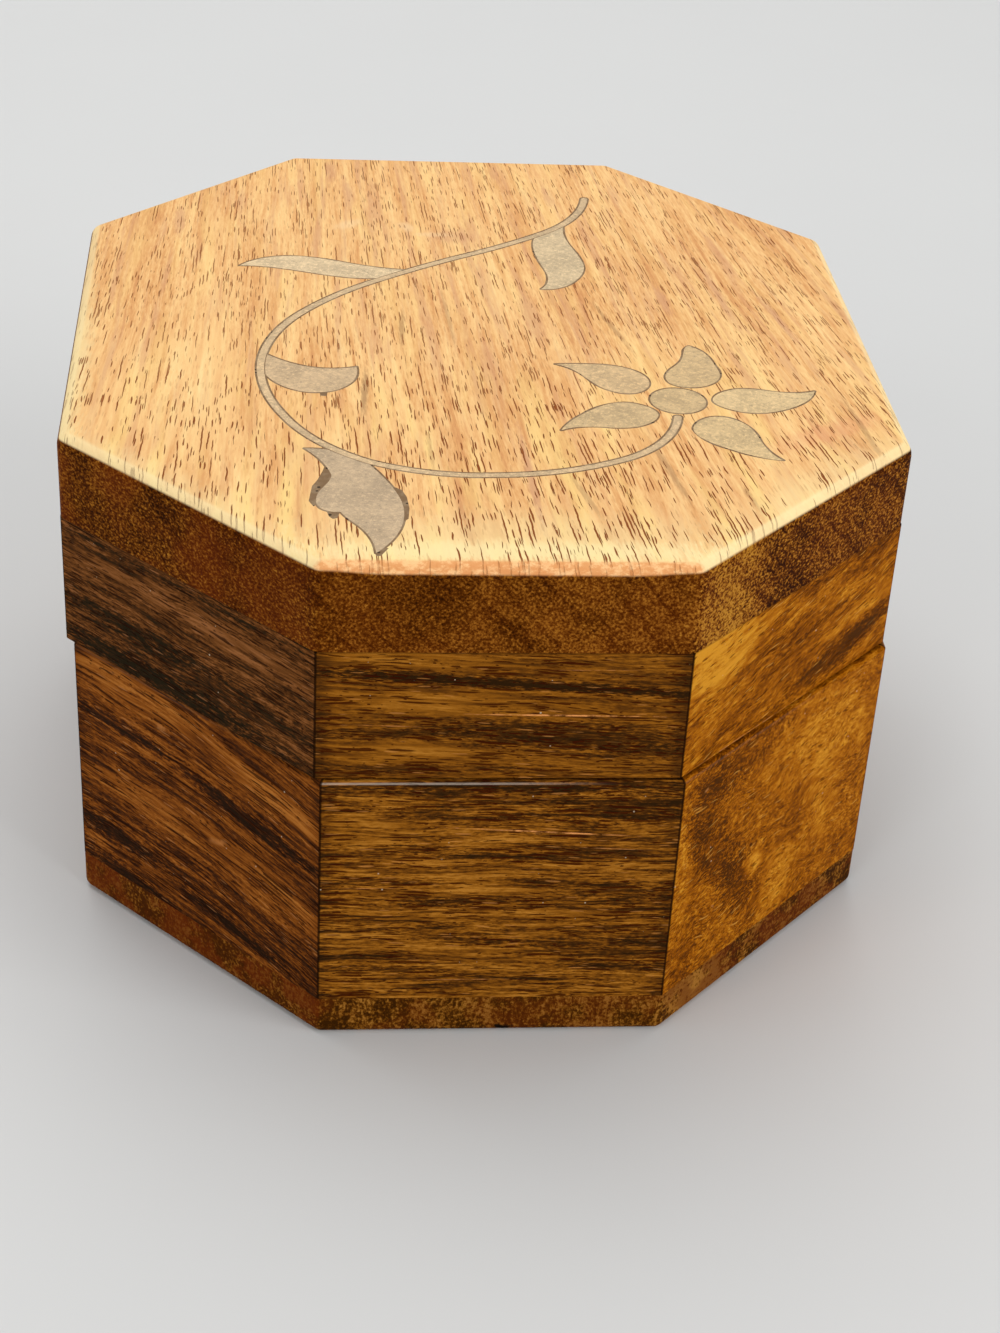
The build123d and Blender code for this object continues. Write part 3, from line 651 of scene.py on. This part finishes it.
def finishBaseBoard(plan):
    finish = Finish("baseBoardWood")
    flat = finish.place()
    local = finish.place(turn=math.pi / 2)
    tone, fibres = growWood(finish, local, plan["wood"])[1:]
    speckle = finish.noise(local, plan["speckleSize"], 2.0, 0.65)
    blotches = finish.noise(local, plan["blotchSize"], 3.0, 0.6)
    rows = finish.noise(flat, plan["rowSize"], 2.0, 0.6, (2, 6, 1))
    left, right = finish.side(frontLeft), finish.side(frontRight)
    mixed = tone - 0.02 - 0.03 * left + finish.marks(flat, plan["marks"], raggedBy * (fibres - 0.5))
    mixed = mixed + (1.4 + 0.2 * left) * (speckle - 0.5) + (0.25 + 0.85 * right) * (rows - 0.5)
    mixed = mixed + (0.75 + 0.5 * right - 0.2 * left) * (blotches - 0.5)
    colour = finish.ramp(mixed, plan["stops"])
    patchy = finish.step(blotches, 0.40, 0.60)
    colour = finish.blend(0.10 + 0.15 * left + patchy * (0.20 + 0.25 * left), colour, plan["red"])
    colour = finish.blend(patchy * (0.20 + 0.30 * right), colour, plan["redder"])
    face = finish.point(finish.axis(flat, "X"), finish.axis(flat, "Z"), 0)
    front = finish.step(finish.facing((0, -1, 0)), 0.2, 0.6)
    # chips: dents on the front edge, given a bump and painted dark shade
    shadedChips = front * finish.marks(face, plan["shadedChips"], 0.8 * (speckle - 0.5))
    colour = finish.blend(shadedChips, colour, plan["chipShade"])
    rough = plan["rough"] + 0.1 * speckle
    height = fibres + 0.5 * speckle - 2 * shadedChips
    return finish.cover(colour, rough, height, plan["relief"], Specular_IOR_Level=plan["shine"])


# brass and its mastic
inlayPlan = {
    "rough": 0.50, "relief": 0.012, "metal": 0.75,
    "brass": tint(202, 176, 136),
    "shade": 0.80, "bright": 1.22, "fleck": 0.62,  # times the plain brass
    "cloudSize": (5, 5, 5), "gritSize": (0.45, 0.45, 0.45),
    "scratchBands": ((9, 0.14, 0.5), 0.60, 0.74, (0, 0, 0), 2.0, 0.5),
    "scratchTurns": (20, 75, 130),  # degrees
    "tintsAndShades": {  # how much red, green and blue each piece keeps: its own tint, with painted shade and reflection set for each piece
        "inlay_stem": (0.92, 0.88, 0.84), "inlay_leaf_slender": (1.04, 1.06, 1.08),
        "inlay_leaf_upper": (0.97, 0.99, 1.00), "inlay_leaf_crescent": (0.86, 0.82, 0.80),
        "inlay_leaf_lobed": (0.73, 0.72, 0.76), "inlay_petal_upper_left": (0.95, 0.89, 0.79),
        "inlay_petal_top": (0.91, 0.86, 0.74), "inlay_petal_right": (1.01, 0.99, 0.88),
        "inlay_petal_lower_right": (0.96, 0.93, 0.81), "inlay_petal_lower_left": (0.88, 0.84, 0.74),
        "inlay_flower_centre": (0.90, 0.86, 0.75),
    },
}
masticPlan = {
    "rough": 0.8, "relief": 0.08, "shine": 0.2,
    "plain": tint(128, 100, 70), "pale": tint(150, 126, 96), "pit": tint(60, 44, 28),
    "cloudSize": (1.6, 1.6, 1.6), "pits": ((0.9, 0.9, 1), 0.25, 0.25),
}


def finishInlay(name, plan):
    finish = Finish(name + "Brass")
    local = finish.place()
    base = [value * keep for value, keep in zip(plan["brass"], plan["tintsAndShades"][name])]
    plain, shade, bright, fleck = [
        (*(share * value for value in base), 1.0)
        for share in (1, plan["shade"], plan["bright"], plan["fleck"])]
    cloud = finish.noise(local, plan["cloudSize"], 3.0, 0.6)
    grit = finish.noise(local, plan["gritSize"], 3.0, 0.75)
    rubbedAndHighlight = 0
    for turn in plan["scratchTurns"]:
        rubbedAndHighlight = rubbedAndHighlight + finish.bands(finish.place(turn=math.radians(turn)), *plan["scratchBands"])
    colour = finish.blend(finish.step(cloud, 0.35, 0.65), shade, plain)
    colour = finish.blend(finish.step(grit, 0.50, 0.66), colour, bright)
    colour = finish.blend(finish.step(grit, 0.46, 0.30), colour, fleck)
    colour = finish.blend(0.4 * rubbedAndHighlight, colour, bright)
    rough = plan["rough"] - 0.12 * rubbedAndHighlight + 0.25 * (grit - 0.5)
    return finish.cover(colour, rough, grit + 0.3 * rubbedAndHighlight, plan["relief"], Metallic=plan["metal"])


def finishMastic(plan):
    finish = Finish("inlayMastic")
    local = finish.place()
    cloud = finish.noise(local, plan["cloudSize"], 3.0, 0.6)
    pits = finish.dashes(local, *plan["pits"])
    colour = finish.blend(finish.step(cloud, 0.40, 0.65), plan["plain"], plan["pale"])
    colour = finish.blend(pits, colour, plan["pit"])
    rough = plan["rough"] + 0.1 * cloud
    return finish.cover(colour, rough, cloud - pits, plan["relief"], Specular_IOR_Level=plan["shine"])


# hinge: yellow brass, gone brown in places
hingePlan = {
    "rough": 0.30, "relief": 0.008, "metal": 1.0,
    "brass": tint(196, 160, 92), "tarnish": tint(140, 100, 52), "bright": tint(226, 196, 130),
    "cloudSize": (4, 4, 4), "brushSize": (6, 0.12, 0.12),
}


def finishHinge(plan):
    finish = Finish("hingeBrass")
    local = finish.place()
    cloud = finish.noise(local, plan["cloudSize"], 3.0, 0.6)
    brushed = finish.noise(local, plan["brushSize"])
    colour = finish.blend(finish.step(cloud, 0.48, 0.68), plan["brass"], plan["tarnish"])
    colour = finish.blend(0.4 * finish.step(brushed, 0.5, 0.7), colour, plan["bright"])
    rough = plan["rough"] + 0.25 * finish.step(cloud, 0.45, 0.7)
    return finish.cover(colour, rough, brushed, plan["relief"], Metallic=plan["metal"])


# the places of the boards and staves, in metres
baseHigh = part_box("base_board")[1]
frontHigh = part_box("body_stave_front")[1]
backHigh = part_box("body_stave_back")[1]
rightLow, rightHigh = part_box("body_stave_right")
boardLow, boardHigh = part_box("lid_board")
boardMiddle = (boardLow + boardHigh) / 2


def caseCorners():  # from the front left corner round to the right
    x, y = baseHigh.x, baseHigh.y
    return [(-frontHigh.x, -y), (frontHigh.x, -y), (x, rightLow.y), (x, rightHigh.y),
            (backHigh.x, y), (-backHigh.x, y), (-x, rightHigh.y), (-x, rightLow.y)]


def dress(name, material):
    slots = nodes[name].data.materials
    slots.clear()
    slots.append(material)


corners = caseCorners()
for index, side in enumerate(sideNames):
    start, end = corners[index], corners[(index + 1) % len(corners)]
    length = math.dist(start, end) / millimetre
    for part, shift in (("body", (0, 0)), ("lid", (boardMiddle.x, boardMiddle.y))):
        name = f"{part}_stave_{side}"
        middle = ((start[0] + end[0]) / 2 + shift[0], (start[1] + end[1]) / 2 + shift[1], 0)
        low, high = (corner.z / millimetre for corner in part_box(name))
        dress(name, finishStave(name, stavePlans[name], middle, index * sideTurn, length, low, high))
dress("lid_board", finishLidBoard(lidBoardPlan))
dress("base_board", finishBaseBoard(baseBoardPlan))
print("boards and staves finished")

hingeBrass = finishHinge(hingePlan)
for name in nodes:
    if name.startswith("hinge_"):
        dress(name, hingeBrass)
    elif name == "inlay_filler":
        dress(name, finishMastic(masticPlan))
    elif name.startswith("inlay_"):
        dress(name, finishInlay(name, inlayPlan))
print("inlay and hinge finished")
